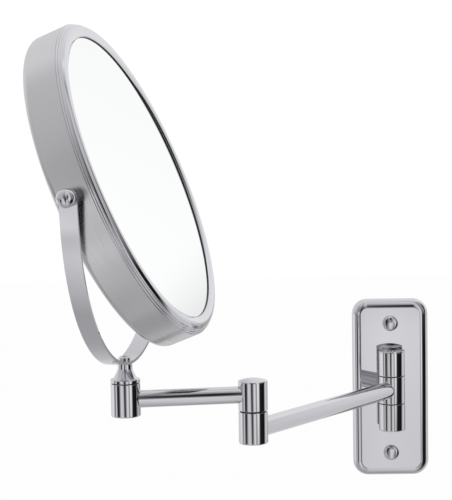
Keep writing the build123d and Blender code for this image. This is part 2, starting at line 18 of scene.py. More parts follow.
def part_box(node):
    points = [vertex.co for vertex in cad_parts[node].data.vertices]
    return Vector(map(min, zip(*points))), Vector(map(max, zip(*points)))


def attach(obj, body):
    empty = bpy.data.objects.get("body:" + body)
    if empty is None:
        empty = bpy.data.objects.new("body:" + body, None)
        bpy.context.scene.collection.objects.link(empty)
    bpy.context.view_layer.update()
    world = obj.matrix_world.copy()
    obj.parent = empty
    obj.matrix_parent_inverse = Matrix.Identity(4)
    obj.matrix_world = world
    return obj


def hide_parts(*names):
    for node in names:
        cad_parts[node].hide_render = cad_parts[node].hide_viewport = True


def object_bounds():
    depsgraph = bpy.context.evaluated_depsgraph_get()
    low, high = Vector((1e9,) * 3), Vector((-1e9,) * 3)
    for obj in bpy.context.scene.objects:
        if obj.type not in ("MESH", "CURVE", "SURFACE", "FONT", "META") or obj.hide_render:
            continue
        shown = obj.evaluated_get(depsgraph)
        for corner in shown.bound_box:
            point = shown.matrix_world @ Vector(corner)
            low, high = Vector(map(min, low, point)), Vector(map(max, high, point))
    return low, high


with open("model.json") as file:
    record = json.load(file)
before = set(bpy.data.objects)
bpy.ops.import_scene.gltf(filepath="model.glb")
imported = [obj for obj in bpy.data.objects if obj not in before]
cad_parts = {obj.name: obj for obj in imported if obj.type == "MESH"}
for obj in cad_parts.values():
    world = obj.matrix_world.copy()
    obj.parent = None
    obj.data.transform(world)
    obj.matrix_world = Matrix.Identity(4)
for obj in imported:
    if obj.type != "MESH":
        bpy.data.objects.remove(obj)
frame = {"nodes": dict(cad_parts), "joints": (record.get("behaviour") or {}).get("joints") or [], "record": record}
cad_box = [list(corner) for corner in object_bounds()]
parts = frame["nodes"]

# %% [markdown]
# ## Places
#
# Everything is measured in millimetres and turned into metres as it is built. The joints say where
# the upright axes stand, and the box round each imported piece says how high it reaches, so nothing
# is placed by eye.

# %% Axes and heights
MM = 0.001
joints = {joint["name"]: joint for joint in frame["joints"]}
hinge_axis, elbow_axis, swivel_axis, head_centre = (
    Vector(joints[name]["pos_m"])
    for name in ("wall_swivel", "elbow", "head_swivel", "mirror_tilt")
)
pivot_line = Vector(joints["mirror_tilt"]["axis"])


def heights(piece):
    """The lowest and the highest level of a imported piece, in millimetres."""
    low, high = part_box(piece)
    return low.z / MM, high.z / MM


print("head centre", [round(c / MM, 1) for c in head_centre], "mm")

# %% [markdown]
# The yoke and the mirror each have a frame of their own. Their X axis runs along the pivots. The
# yoke's Z axis is level. The mirror's Z axis leaves the glass, so it leans back by the tilt.

# %% Frames of the yoke and the mirror
head_tilt = 22.2
level_out = Vector((0, 0, 1)).cross(pivot_line).normalized() * -1
glass_out = level_out * cos(radians(head_tilt)) + Vector((0, 0, sin(radians(head_tilt))))


def frame_of(origin, across, out):
    """A matrix with X along across, Z along out and its origin at origin."""
    turn = Matrix((across, out.cross(across), out)).transposed()
    return Matrix.Translation(origin) @ turn.to_4x4()


yoke_frame = frame_of(head_centre, pivot_line, level_out)
head_frame = frame_of(head_centre, pivot_line, glass_out)
hinge_frame = Matrix.Translation(hinge_axis)
elbow_frame = Matrix.Translation(elbow_axis)
swivel_frame = Matrix.Translation(swivel_axis)
print("glass looks along", [round(c, 3) for c in glass_out])

# %% [markdown]
# ## The camera
#
# It stands a little over a metre away, just above the arm, and looks slightly down. The lens is
# long, so the arm isn't stretched towards the eye.

# %% Camera
camera_place = (-0.0839, -1.3038, 0.2220)
camera_pan, camera_tilt, camera_roll = -0.0217, -0.0958, -0.0169    # radians
lens_length = 136.7424     # mm, for a picture that is 36 mm along its longer side
camera = bpy.data.objects.new("camera", bpy.data.cameras.new("camera"))
camera.data.lens = lens_length
camera.data.clip_start = 0.01
camera.matrix_world = (
    Matrix.Translation(camera_place)
    @ Matrix.Rotation(-camera_pan, 4, "Z")
    @ Matrix.Rotation(pi / 2 + camera_tilt, 4, "X")
    @ Matrix.Rotation(camera_roll, 4, "Z")
)
bpy.context.scene.collection.objects.link(camera)
bpy.context.scene.camera = camera
bpy.context.scene.view_settings.view_transform = "Standard"
print("lens", round(camera.data.lens, 1), "mm")

# %% [markdown]
# ## Two helpers for shaders
#
# Colours are written as hex values, as a paint chart gives them, and Blender's shaders want them
# linear. The other helper adds one node, sets it and links it, so each material below reads as a
# list of what feeds what.

# %% Colours and nodes
def linear(code):
    """The linear red, green, blue and alpha of a hex colour."""
    shares = [int(code[i : i + 2], 16) / 255 for i in (1, 3, 5)]
    return [s / 12.92 if s <= 0.04045 else ((s + 0.055) / 1.055) ** 2.4 for s in shares] + [1.0]


def add_node(tree, kind, inputs=None, **settings):
    """Adds a node. An input that is a socket is linked, and any other is set."""
    made = tree.nodes.new(kind)
    for name, value in settings.items():
        setattr(made, name, value)
    for name, value in (inputs or {}).items():
        if isinstance(value, bpy.types.NodeSocket):
            tree.links.new(value, made.inputs[name])
        else:
            made.inputs[name].default_value = value
    return made


print("mid grey is", round(linear("#808080")[0], 3), "in linear light")

# %% [markdown]
# ## The studio
#
# Chrome has hardly any colour of its own: what the eye sees is the room, bent by each curve. So the
# room matters more than the metal. A photographer hangs white paper, grey cards and black flags
# round such an object, and each gives one of the stripes that make a barrel look round.
#
# Here they are painted inside a dome, in tiers, and only reflected rays see it. Each tier is a run
# of cards: where a card stands, in degrees to the right of the camera's side, and how bright it is,
# where 1 is white paper in full light. The black flag near 0 hangs between two large windows of
# light, and the broad one near 70 darkens the right side of every barrel. A narrow grey card near
# 150 draws the edge of the yoke.

# %% Cards round the object
tiers = {
    -75: [(-180, 0.48), (-60, 0.50), (-10, 0.50), (20, 0.62), (50, 0.56), (90, 0.46), (150, 0.46),
          (180, 0.48)],
    -46: [(-180, 0.70), (-150, 0.60), (-60, 0.46), (-46, 0.58), (-30, 0.76), (-14, 0.74),
          (-6, 0.58), (6, 0.66), (16, 0.84), (40, 0.66), (56, 0.16), (88, 0.12), (102, 0.74),
          (156, 0.74), (180, 0.70)],
    -27: [(-180, 0.74), (-90, 0.70), (-66, 0.48), (-54, 0.28), (-38, 0.72), (-20, 0.98),
          (-12, 0.80), (-5, 0.30), (2, 0.34), (9, 0.84), (15, 0.86), (20, 0.50), (24, 0.20),
          (36, 0.56), (48, 0.02), (90, 0.02), (98, 0.56), (104, 0.77), (156, 0.76), (180, 0.74)],
    -16: [(-180, 0.52), (-168, 0.80), (-138, 0.78), (-99, 1.0), (-92, 0.92), (-78, 0.38),
          (-66, 0.76), (-60, 0.40), (-55, 0.08), (-47, 0.06), (-38, 0.66), (-20, 0.84),
          (-14, 0.66), (-6, 0.06), (3, 0.42), (9, 0.92), (18, 0.80), (24, 0.20), (31, 0.66),
          (37, 0.72), (45, 0.02), (87, 0.01), (96, 0.50), (102, 0.82), (143, 0.68), (147, 0.38),
          (157, 0.38), (162, 0.62), (180, 0.52)],
    -8: [(-180, 0.66), (-120, 0.98), (-93, 1.1), (-86, 0.60), (-79, 0.18), (-74, 0.24),
         (-69, 0.95), (-65, 0.90), (-58, 0.03), (-43, 0.03), (-36, 0.56), (-29, 0.95),
         (-15, 0.68), (-9, 0.03), (-4, 0.02), (4, 0.45), (9, 1.0), (18, 0.86), (24, 0.34),
         (27, 0.38), (32, 1.15), (42, 1.10), (50, 0.02), (93, 0.004), (100, 0.70), (108, 0.82),
         (130, 0.77), (143, 0.74), (147, 0.38), (157, 0.38), (162, 0.70), (180, 0.66)],
    1: [(-180, 0.82), (-120, 0.95), (-78, 0.34), (-68, 0.64), (-60, 0.42), (-46, 0.20),
        (-32, 0.88), (-21, 0.86), (-9, 0.03), (-2, 0.01), (10, 0.50), (15, 0.24), (20, 0.60),
        (35, 1.05), (42, 0.90), (50, 0.28), (66, 0.10), (82, 0.22), (94, 0.04), (99, 0.10),
        (104, 0.84), (135, 0.90), (144, 0.80), (149, 0.55), (155, 0.55), (161, 0.76), (180, 0.82)],
    12: [(-180, 0.92), (-170, 0.76), (-120, 0.90), (-75, 0.60), (-60, 0.58), (-30, 0.62),
         (-19, 0.24), (-8, 0.02), (0, 0.18), (6, 0.46), (10, 0.06), (15, 0.01), (20, 0.55),
         (32, 0.90), (40, 0.86), (50, 0.45), (64, 0.15), (76, 0.52), (87, 0.02), (101, 0.0),
         (105, 0.84), (138, 1.06), (180, 0.92)],
    28: [(-180, 0.90), (-168, 0.74), (-102, 0.93), (-80, 0.64), (-38, 0.64), (-24, 0.34),
         (-12, 0.16), (3, 0.62), (9, 0.05), (16, 0.01), (21, 0.50), (34, 0.86), (51, 0.50),
         (61, 0.20), (75, 0.54), (87, 0.06), (104, 0.0), (111, 0.80), (138, 1.06), (180, 0.90)],
    45: [(-180, 0.94), (-168, 0.80), (-108, 0.93), (-82, 0.70), (-38, 0.68), (-21, 0.38),
         (-3, 0.78), (4, 0.84), (15, 0.44), (22, 0.72), (38, 0.80), (50, 0.62), (61, 0.18),
         (75, 0.54), (88, 0.40), (108, 0.72), (122, 1.08), (180, 0.94)],
    70: [(-180, 0.95), (-108, 0.90), (-84, 0.78), (-36, 0.74), (-24, 0.62), (3, 0.96), (16, 0.82),
         (36, 0.94), (63, 0.48), (80, 0.70), (123, 1.06), (150, 0.86), (180, 0.95)],
}
print(sum(len(cards) for cards in tiers.values()), "cards in", len(tiers), "tiers")

# %% [markdown]
# The dome stands less than a metre away, so the pieces don't all reflect a card at the same place:
# its stripe creeps round the barrels from the wall to the mirror, as real stripes do. Its shader
# finds the compass direction and the height of each point from the middle of the dome, and blends
# the tiers from the floor up.

# %% Dome
dome_radius = 0.9
dome_centre = Vector((-0.10, -0.05, 0.03))
brightest_card = 2.0       # a colour ramp holds shares of this
dome_mesh = bmesh.new()
bmesh.ops.create_uvsphere(dome_mesh, u_segments=96, v_segments=48, radius=dome_radius)
bmesh.ops.translate(dome_mesh, verts=dome_mesh.verts, vec=dome_centre)
dome_data = bpy.data.meshes.new("studio_dome")
dome_mesh.to_mesh(dome_data)
dome_mesh.free()
dome = bpy.data.objects.new("studio_dome", dome_data)
bpy.context.scene.collection.objects.link(dome)
dome.visible_camera = False
dome.visible_diffuse = False
dome.visible_transmission = False
dome.visible_shadow = False

cards_paint = bpy.data.materials.new("lit_cards")
cards_paint.use_nodes = True
sky = cards_paint.node_tree
sky.nodes.clear()
spot = add_node(sky, "ShaderNodeNewGeometry")
apart = add_node(
    sky,
    "ShaderNodeVectorMath",
    {0: spot.outputs["Position"], 1: dome_centre},
    operation="SUBTRACT",
)
aim = add_node(sky, "ShaderNodeVectorMath", {0: apart.outputs[0]}, operation="NORMALIZE")
split = add_node(sky, "ShaderNodeSeparateXYZ", {"Vector": aim.outputs[0]})
towards = add_node(sky, "ShaderNodeMath", {0: split.outputs["Y"], 1: -1.0}, operation="MULTIPLY")
compass = add_node(
    sky, "ShaderNodeMath", {0: split.outputs["X"], 1: towards.outputs[0]}, operation="ARCTAN2"
)
share = add_node(
    sky,
    "ShaderNodeMapRange",
    {"Value": compass.outputs[0], "From Min": -pi, "From Max": pi, "To Min": 0.0, "To Max": 1.0},
)
height = add_node(sky, "ShaderNodeMath", {0: split.outputs["Z"]}, operation="ARCSINE")

studio = None
below = None
for level, cards in tiers.items():
    ramp = add_node(sky, "ShaderNodeValToRGB", {"Fac": share.outputs["Result"]})
    stops = ramp.color_ramp.elements
    for turn, _ in cards[1:-1]:
        stops.new((turn + 180) / 360)
    for stop, (turn, bright) in zip(stops, cards):
        stop.position = (turn + 180) / 360
        stop.color = [bright / brightest_card] * 3 + [1.0]
    if studio is None:
        studio = ramp.outputs["Color"]
    else:
        rise = add_node(
            sky,
            "ShaderNodeMapRange",
            {
                "Value": height.outputs[0],
                "From Min": radians(below),
                "From Max": radians(level),
            },
            interpolation_type="SMOOTHSTEP",
        )
        studio = add_node(
            sky,
            "ShaderNodeMix",
            {0: rise.outputs["Result"], 6: studio, 7: ramp.outputs["Color"]},
            data_type="RGBA",
        ).outputs[2]
    below = level

cards_light = add_node(sky, "ShaderNodeEmission", {"Color": studio, "Strength": brightest_card})
add_node(sky, "ShaderNodeOutputMaterial", {"Surface": cards_light.outputs[0]})
cards_paint.cycles.emission_sampling = "NONE"
dome_data.materials.append(cards_paint)
print(len(sky.nodes), "nodes in the dome's paint")

# %% [markdown]
# The world itself is plain. The camera sees white, and light that falls on plastic comes from a
# softer white, so that colours stay as they are written.

# %% World
world = bpy.data.worlds.new("studio")
bpy.context.scene.world = world
world.use_nodes = True
sky = world.node_tree
sky.nodes.clear()
soft_sky = add_node(sky, "ShaderNodeBackground", {"Color": linear("#FFFFFF"), "Strength": 0.75})
white = add_node(sky, "ShaderNodeBackground", {"Color": linear("#FFFFFF"), "Strength": 1.0})
path = add_node(sky, "ShaderNodeLightPath")
direct = add_node(
    sky,
    "ShaderNodeMath",
    {0: path.outputs["Is Camera Ray"], 1: path.outputs["Is Glossy Ray"]},
    operation="MAXIMUM",
)
seen = add_node(
    sky,
    "ShaderNodeMixShader",
    {0: direct.outputs[0], 1: soft_sky.outputs[0], 2: white.outputs[0]},
)
add_node(sky, "ShaderNodeOutputWorld", {"Surface": seen.outputs[0]})
print(len(sky.nodes), "nodes in the world")

# %% [markdown]
# The floor lies well below, as under a mirror on a wall, so there is room to look at the arm from
# underneath. It is pale, and the camera sees it nearly white. Two large soft lamps give the plastic
# parts a lit side. They are hidden from reflections, where the cards already do their work.

# %% Floor and lamps
floor_drop = 1.2           # metres below the object
floor_reach = 12.0         # metres to each side
floor_whiteness = 0.96     # how nearly white the camera sees it
floor_mesh = bmesh.new()
bmesh.ops.create_grid(floor_mesh, x_segments=1, y_segments=1, size=floor_reach)
bmesh.ops.translate(floor_mesh, verts=floor_mesh.verts, vec=(0, 0, cad_box[0][2] - floor_drop))
floor_data = bpy.data.meshes.new("studio_floor")
floor_mesh.to_mesh(floor_data)
floor_mesh.free()
floor = bpy.data.objects.new("studio_floor", floor_data)
bpy.context.scene.collection.objects.link(floor)
floor.visible_glossy = False

paper = bpy.data.materials.new("matt_white_paper")
paper.use_nodes = True
tree = paper.node_tree
matt = tree.nodes["Principled BSDF"]
matt.inputs["Base Color"].default_value = linear("#F2F1EE")
matt.inputs["Roughness"].default_value = 0.9
glow = add_node(tree, "ShaderNodeEmission", {"Color": linear("#FFFFFF"), "Strength": 1.0})
path = add_node(tree, "ShaderNodeLightPath")
mostly = add_node(
    tree,
    "ShaderNodeMath",
    {0: path.outputs["Is Camera Ray"], 1: floor_whiteness},
    operation="MULTIPLY",
)
mixed = add_node(
    tree, "ShaderNodeMixShader", {0: mostly.outputs[0], 1: matt.outputs[0], 2: glow.outputs[0]}
)
tree.links.new(mixed.outputs[0], tree.nodes["Material Output"].inputs["Surface"])
floor_data.materials.append(paper)

for name, place, size, power in (
    ("key_lamp", (-1.1, -1.6, 1.5), 1.2, 22.0),
    ("fill_lamp", (1.6, -0.8, 0.9), 1.2, 9.0),
):
    lamp = bpy.data.objects.new(name, bpy.data.lights.new(name, "AREA"))
    lamp.data.size = size
    lamp.data.energy = power
    lamp.location = place
    lamp.rotation_euler = (head_centre - lamp.location).to_track_quat("-Z", "Y").to_euler()
    lamp.visible_glossy = False
    bpy.context.scene.collection.objects.link(lamp)
print("floor at", round((cad_box[0][2] - floor_drop) / MM), "mm")

# %% [markdown]
# ## Finishes
#
# Nearly every piece is brass or zinc, polished and then plated with nickel and a thin bright
# chrome. Chromium reflects about two thirds of the light, a little bluish, which is why a white
# card shows in it as pale grey. The plating copies what lies under it: faint ripples from the
# polishing wheel, a few millimetres long, and a roughness that changes from place to place.

# %% Bright chrome
def new_finish(name, colour, metallic, roughness):
    """A material with one shader, its node tree and that shader."""
    finish = bpy.data.materials.new(name)
    finish.use_nodes = True
    shader = finish.node_tree.nodes["Principled BSDF"]
    shader.inputs["Base Color"].default_value = linear(colour)
    shader.inputs["Metallic"].default_value = metallic
    shader.inputs["Roughness"].default_value = roughness
    finish.diffuse_color = linear(colour)
    return finish, finish.node_tree, shader


ripple_length = 7.0        # mm from crest to crest of the polishing ripples
ripple_depth = 0.02        # mm, the most that one is deep
haze_length = 25.0         # mm across a patch that is hazier than the rest
chrome, tree, shader = new_finish("bright_chrome_plate", "#D3D2D7", 1.0, 0.04)
place = add_node(tree, "ShaderNodeTexCoord")
haze = add_node(
    tree,
    "ShaderNodeTexNoise",
    {"Vector": place.outputs["Object"], "Scale": 1 / (haze_length * MM), "Detail": 3.0},
)
haze_range = add_node(
    tree,
    "ShaderNodeMapRange",
    {
        "Value": haze.outputs["Fac"],
        "From Min": 0.35,
        "From Max": 0.75,
        "To Min": 0.008,
        "To Max": 0.022,
    },
)
tree.links.new(haze_range.outputs["Result"], shader.inputs["Roughness"])
ripple = add_node(
    tree,
    "ShaderNodeTexNoise",
    {"Vector": place.outputs["Object"], "Scale": 1 / (ripple_length * MM), "Detail": 1.0},
)
bump = add_node(
    tree,
    "ShaderNodeBump",
    {"Height": ripple.outputs["Fac"], "Strength": 0.12, "Distance": ripple_depth * MM},
)
tree.links.new(bump.outputs["Normal"], shader.inputs["Normal"])
print("finish:", chrome.name)

# %% [markdown]
# The drum's band is chromed over a brushed surface. Its reflections are wiped out round the ring,
# so it shows as an even, soft grey. The brush runs round the band, so the fine lines have to follow
# it: a Mapping node turns the pattern into the mirror's frame, and it is squeezed along the axis.
# Real brush lines are some 0.05 mm apart. That is too fine to show, so these are 0.5 mm apart.

# %% Brushed chrome of the drum
brush_pitch = 0.5          # mm
brush_length = 30.0        # mm that one line runs
brush_depth = 0.01         # mm
satin, tree, shader = new_finish("brushed_chrome_band", "#CFCED1", 1.0, 0.22)
place = add_node(tree, "ShaderNodeTexCoord")
to_head = head_frame.to_3x3().inverted().to_euler()
turned_place = add_node(
    tree, "ShaderNodeMapping", {"Vector": place.outputs["Object"], "Rotation": to_head}
)
squeezed = add_node(
    tree,
    "ShaderNodeMapping",
    {
        "Vector": turned_place.outputs["Vector"],
        "Scale": (1 / (brush_length * MM), 1 / (brush_length * MM), 1 / (brush_pitch * MM)),
    },
)
lines = add_node(
    tree, "ShaderNodeTexNoise", {"Vector": squeezed.outputs["Vector"], "Scale": 1.0, "Detail": 2.0}
)
line_range = add_node(
    tree,
    "ShaderNodeMapRange",
    {
        "Value": lines.outputs["Fac"],
        "From Min": 0.3,
        "From Max": 0.7,
        "To Min": 0.17,
        "To Max": 0.26,
    },
)
tree.links.new(line_range.outputs["Result"], shader.inputs["Roughness"])
bump = add_node(
    tree,
    "ShaderNodeBump",
    {"Height": lines.outputs["Fac"], "Strength": 0.2, "Distance": brush_depth * MM},
)
tree.links.new(bump.outputs["Normal"], shader.inputs["Normal"])
print("finish:", satin.name)

# %% [markdown]
# A mirror is float glass, silvered on its back. The silver reflects nearly everything, and the
# glass takes a little red out, so the base colour is a very pale green. Its face is the flattest
# surface of all, so it has no bump. Only a breath of dust roughens it here and there.

# %% Silvered glass
dust_patch = 40.0          # mm
mirror, tree, shader = new_finish("silvered_float_glass", "#FAFCFB", 1.0, 0.01)
place = add_node(tree, "ShaderNodeTexCoord")
dust = add_node(
    tree, "ShaderNodeTexNoise", {"Vector": place.outputs["Object"], "Scale": 1 / (dust_patch * MM)}
)
dust_range = add_node(
    tree,
    "ShaderNodeMapRange",
    {
        "Value": dust.outputs["Fac"],
        "From Min": 0.5,
        "From Max": 0.8,
        "To Min": 0.003,
        "To Max": 0.02,
    },
)
tree.links.new(dust_range.outputs["Result"], shader.inputs["Roughness"])
print("finish:", mirror.name)

# %% [markdown]
# The hidden fasteners are zinc-plated steel: greyer than chrome, with a dull, slightly mottled
# sheen from the plating bath.

# %% Zinc-plated steel
mottle_width = 3.0         # mm
steel, tree, shader = new_finish("zinc_plated_steel", "#B4B6B7", 1.0, 0.32)
place = add_node(tree, "ShaderNodeTexCoord")
mottle = add_node(
    tree,
    "ShaderNodeTexNoise",
    {"Vector": place.outputs["Object"], "Scale": 1 / (mottle_width * MM), "Detail": 4.0},
)
mottle_range = add_node(
    tree,
    "ShaderNodeMapRange",
    {
        "Value": mottle.outputs["Fac"],
        "From Min": 0.3,
        "From Max": 0.7,
        "To Min": 0.24,
        "To Max": 0.42,
    },
)
tree.links.new(mottle_range.outputs["Result"], shader.inputs["Roughness"])
shade = add_node(tree, "ShaderNodeValToRGB", {"Fac": mottle.outputs["Fac"]})
shade.color_ramp.elements[0].color = linear("#A4A6A8")
shade.color_ramp.elements[1].color = linear("#C2C4C4")
tree.links.new(shade.outputs["Color"], shader.inputs["Base Color"])
print("finish:", steel.name)

# %% [markdown]
# The washers and the bush are turned from black nylon, which is why the joints show as thin dark
# lines. The ring between the two glasses is moulded ABS, with the fine grain of a spark-eroded
# mould.

# %% Nylon and ABS
def grained_plastic(name, dark, pale, roughness, grain, depth):
    """A moulded or turned plastic whose colour and surface vary at one real scale."""
    finish, tree, shader = new_finish(name, pale, 0.0, roughness)
    place = add_node(tree, "ShaderNodeTexCoord")
    speckle = add_node(
        tree,
        "ShaderNodeTexNoise",
        {"Vector": place.outputs["Object"], "Scale": 1 / (grain * MM), "Detail": 5.0},
    )
    shade = add_node(tree, "ShaderNodeValToRGB", {"Fac": speckle.outputs["Fac"]})
    shade.color_ramp.elements[0].color = linear(dark)
    shade.color_ramp.elements[1].color = linear(pale)
    tree.links.new(shade.outputs["Color"], shader.inputs["Base Color"])
    bump = add_node(
        tree,
        "ShaderNodeBump",
        {"Height": speckle.outputs["Fac"], "Strength": 0.3, "Distance": depth * MM},
    )
    tree.links.new(bump.outputs["Normal"], shader.inputs["Normal"])
    return finish


nylon = grained_plastic("turned_black_nylon", "#121213", "#1C1C1E", 0.45, 1.2, 0.01)
core_plastic = grained_plastic("moulded_grey_abs", "#6C6D6F", "#7C7D7E", 0.55, 0.8, 0.02)
print("finishes:", nylon.name, core_plastic.name)
finishes = {
    "chrome": chrome,
    "satin_chrome": satin,
    "mirror_glass": mirror,
    "steel": steel,
    "nylon": nylon,
    "core_plastic": core_plastic,
}

# %% [markdown]
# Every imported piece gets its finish, also the ones inside the barrels. The record says which
# material each one is made of.

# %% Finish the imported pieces
slot_of = {
    name: part.material_slots[0].material.name.split(".")[0] for name, part in parts.items()
}
for name, part in parts.items():
    for holder in part.material_slots:
        holder.material = finishes[slot_of[name]]
print({name: part.material_slots[0].material.name for name, part in list(parts.items())[:4]})

# %% [markdown]
# ## Turned pieces
#
# Most of a shaving mirror comes off a lathe. A turned piece is a section spun about its axis, so it
# is drawn the same way here. One vertex is pushed along the section: a point moves it straight on,
# and a centre with an angle swings it round an arc. Then the section is spun a full turn and its
# ends are merged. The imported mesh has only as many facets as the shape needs. These have more, as
# each reflected stripe has to run without a kink.

# %% Draw a section and spin it
body_of = {
    node: body for body, nodes in frame["record"]["behaviour"]["bodies"].items() for node in nodes
}
barrel_steps = 96
ring_steps = 240
arc_step = 7.0             # degrees per facet of an arc


def drawn(start, *moves, facet=arc_step):
    """A section in the XZ plane, in millimetres. A point is a straight run, and a centre with
    degrees is an arc, anticlockwise if they are positive."""
    section = bmesh.new()
    first = section.verts.new((start[0] * MM, 0, start[1] * MM))
    pen = first
    for move in moves:
        if isinstance(move[0], tuple):
            (across, up), turn = move
            swung = bmesh.ops.spin(
                section,
                geom=[pen],
                cent=(across * MM, 0, up * MM),
                axis=(0, -1, 0),
                angle=radians(turn),
                steps=max(3, round(abs(turn) / facet)),
            )
            pen = swung["geom_last"][0]
        else:
            pen = bmesh.ops.extrude_vert_indiv(section, verts=[pen])["verts"][0]
            pen.co = (move[0] * MM, 0, move[1] * MM)
    if (pen.co - first.co).length > MM / 1000 and max(pen.co.x, first.co.x) > MM / 1000:
        section.edges.new((pen, first))
    return section


def spun(section, steps=barrel_steps):
    """The section turned about the Z axis into a closed solid."""
    bmesh.ops.spin(
        section,
        geom=section.verts[:] + section.edges[:],
        cent=(0, 0, 0),
        axis=(0, 0, 1),
        angle=tau,
        steps=steps,
        use_merge=True,
    )
    bmesh.ops.remove_doubles(section, verts=section.verts, dist=MM / 1000)
    bmesh.ops.recalc_face_normals(section, faces=section.faces)
    return section


print("an arc gets a facet every", arc_step, "degrees")

# %% [markdown]
# A turned edge is never quite sharp. The polishing wheel takes a little off, and that thin round
# catches the light as a bright line. So a second helper bevels the rings at given heights, or every
# edge that is sharper than a given angle.

# %% Break the edges
edge_facet = 0.12          # mm across a facet of a rounded edge
smooth_limit = 32          # degrees between faces, past which an edge stays sharp


def round_rings(piece, *rings):
    """Rounds the edges of a turned piece that lie at a radius and a height, by a width in mm."""
    for radius, level, width in rings:
        found = [
            edge
            for edge in piece.edges
            if all(
                abs(vert.co.z / MM - level) < 0.01 and abs(vert.co.xy.length / MM - radius) < 0.01
                for vert in edge.verts
            )
        ]
        bmesh.ops.bevel(
            piece,
            geom=found,
            offset=width * MM,
            segments=max(2, round(width / edge_facet)),
            profile=0.5,
            affect="EDGES",
            clamp_overlap=True,
            material=-1,
        )


def break_edges(piece, width, angle=40):
    """Rounds every edge sharper than an angle."""
    sharp = [e for e in piece.edges if e.is_manifold and e.calc_face_angle(0) > radians(angle)]
    bmesh.ops.bevel(
        piece,
        geom=sharp,
        offset=width * MM,
        segments=2,
        profile=0.5,
        affect="EDGES",
        clamp_overlap=True,
        material=-1,
    )


def gathered(group, piece):
    """Adds a finished solid to a group of them, and frees it."""
    data = bpy.data.meshes.new("solid")
    piece.to_mesh(data)
    piece.free()
    group.from_mesh(data)
    bpy.data.meshes.remove(data)


def placed(piece, name, packed, place, trim_slot=None):
    """Makes the finished object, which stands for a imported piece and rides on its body. A trim
    only rides on it, and has a slot of its own."""
    slot = trim_slot or slot_of[packed]
    piece.transform(place)
    for face in piece.faces:
        face.smooth = True
    for edge in piece.edges:
        edge.smooth = edge.calc_face_angle(0) < radians(smooth_limit)
    data = bpy.data.meshes.new(name)
    piece.to_mesh(data)
    piece.free()
    made = bpy.data.objects.new(name, data)
    bpy.context.scene.collection.objects.link(made)
    data.materials.append(finishes[slot])
    weigh = made.modifiers.new("weigh normals by area", "WEIGHTED_NORMAL")
    weigh.keep_sharp = True
    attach(made, body_of[packed])
    if not trim_slot:
        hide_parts(packed)
    print(name, "goes with", packed, "with", len(data.polygons), "faces")
    return made


# %% [markdown]
# ## The mirror's drum
#
# The band is drawn from tube and rolled over at the rear into a lip, which holds the magnifying
# glass. Its front edge is cut square and meets the bezel at a fine seam.

# %% Drum band
drum_radius, drum_wall, drum_roll = 100.0, 1.2, 4.2
drum_rear, seam, lip_radius = -11.7, 10.6, 92.0
cut_edge, lip_edge = 0.25, 0.4
drum_inner = drum_radius - drum_wall
roll_centre = (drum_radius - drum_roll, drum_rear + drum_roll)
lip_front = drum_rear + drum_wall
band = spun(
    drawn(
        (lip_radius, drum_rear),
        (roll_centre[0], drum_rear),
        (roll_centre, 90),
        (drum_radius, seam),
        (drum_inner, seam),
        (drum_inner, roll_centre[1]),
        (roll_centre, -90),
        (lip_radius, lip_front),
    ),
    ring_steps,
)
round_rings(
    band,
    (drum_radius, seam, cut_edge),
    (lip_radius, drum_rear, lip_edge),
    (lip_radius, lip_front, lip_edge),
)
placed(band, "rolled_drum_band", "drum_band", head_frame)

# %% [markdown]
# The bezel is a pressed ring: two fine steps beside the seam, a short wall that leans in, a
# shoulder, a low round crown, and a slope that falls to the glass. The steps give the thin light
# and dark lines, and the shoulder gives the black band that runs beside the glass, so all of them
# are modelled and not drawn. The slope is the arc through three points, and its centre is worked
# out from them.

# %% Front bezel
def bend(start, middle, end):
    """The centre and the degrees of the arc through three points."""
    (ax, az), (bx, bz), (cx, cz) = start, middle, end
    twice = 2 * (ax * (bz - cz) + bx * (cz - az) + cx * (az - bz))
    a, b, c = ax * ax + az * az, bx * bx + bz * bz, cx * cx + cz * cz
    centre = (
        (a * (bz - cz) + b * (cz - az) + c * (az - bz)) / twice,
        (a * (cx - bx) + b * (ax - cx) + c * (bx - ax)) / twice,
    )
    turn = atan2(cz - centre[1], cx - centre[0]) - atan2(az - centre[1], ax - centre[0])
    return centre, degrees((turn + pi) % tau - pi)


bezel_inset, step_width, step_height = 0.6, 0.7, 1.2
wall_lean, wall_rise = 10, 0.8
shoulder_lean, shoulder_width = 46, 1.8
crown_start, crown_round, bezel_wall = 66, 5.5, 1.2
lip_thickness, lip_top, bezel_half_fall = 0.65, 3.4, 0.45
step_edge, shoulder_edge, slope_edge = 0.3, 0.25, 0.15
glass_edge = 90.2          # radius of the glass that shows
glass_cover = 0.5          # glass hidden under the lip
skirt_end = 6.6            # how far back the bezel's skirt reaches into the drum
outer_step = drum_radius - bezel_inset
inner_step = outer_step - step_width
wall_outer = inner_step - step_width
wall_foot = seam + 2 * step_height
wall_end = (wall_outer - wall_rise * tan(radians(wall_lean)), wall_foot + wall_rise)
shoulder_end = (
    wall_end[0] - shoulder_width * sin(radians(shoulder_lean)),
    wall_end[1] + shoulder_width * cos(radians(shoulder_lean)),
)
crown = (
    shoulder_end[0] - crown_round * cos(radians(crown_start)),
    shoulder_end[1] - crown_round * sin(radians(crown_start)),
)
crest = crown[1] + crown_round
slope_start, slope_end = (crown[0], crest), (glass_edge, seam + lip_top)
slope_middle = ((crown[0] + glass_edge) / 2, crest - bezel_half_fall)
glass_front = seam + lip_top - lip_thickness
glass_radius = glass_edge + glass_cover
skirt_inner = drum_inner - bezel_wall
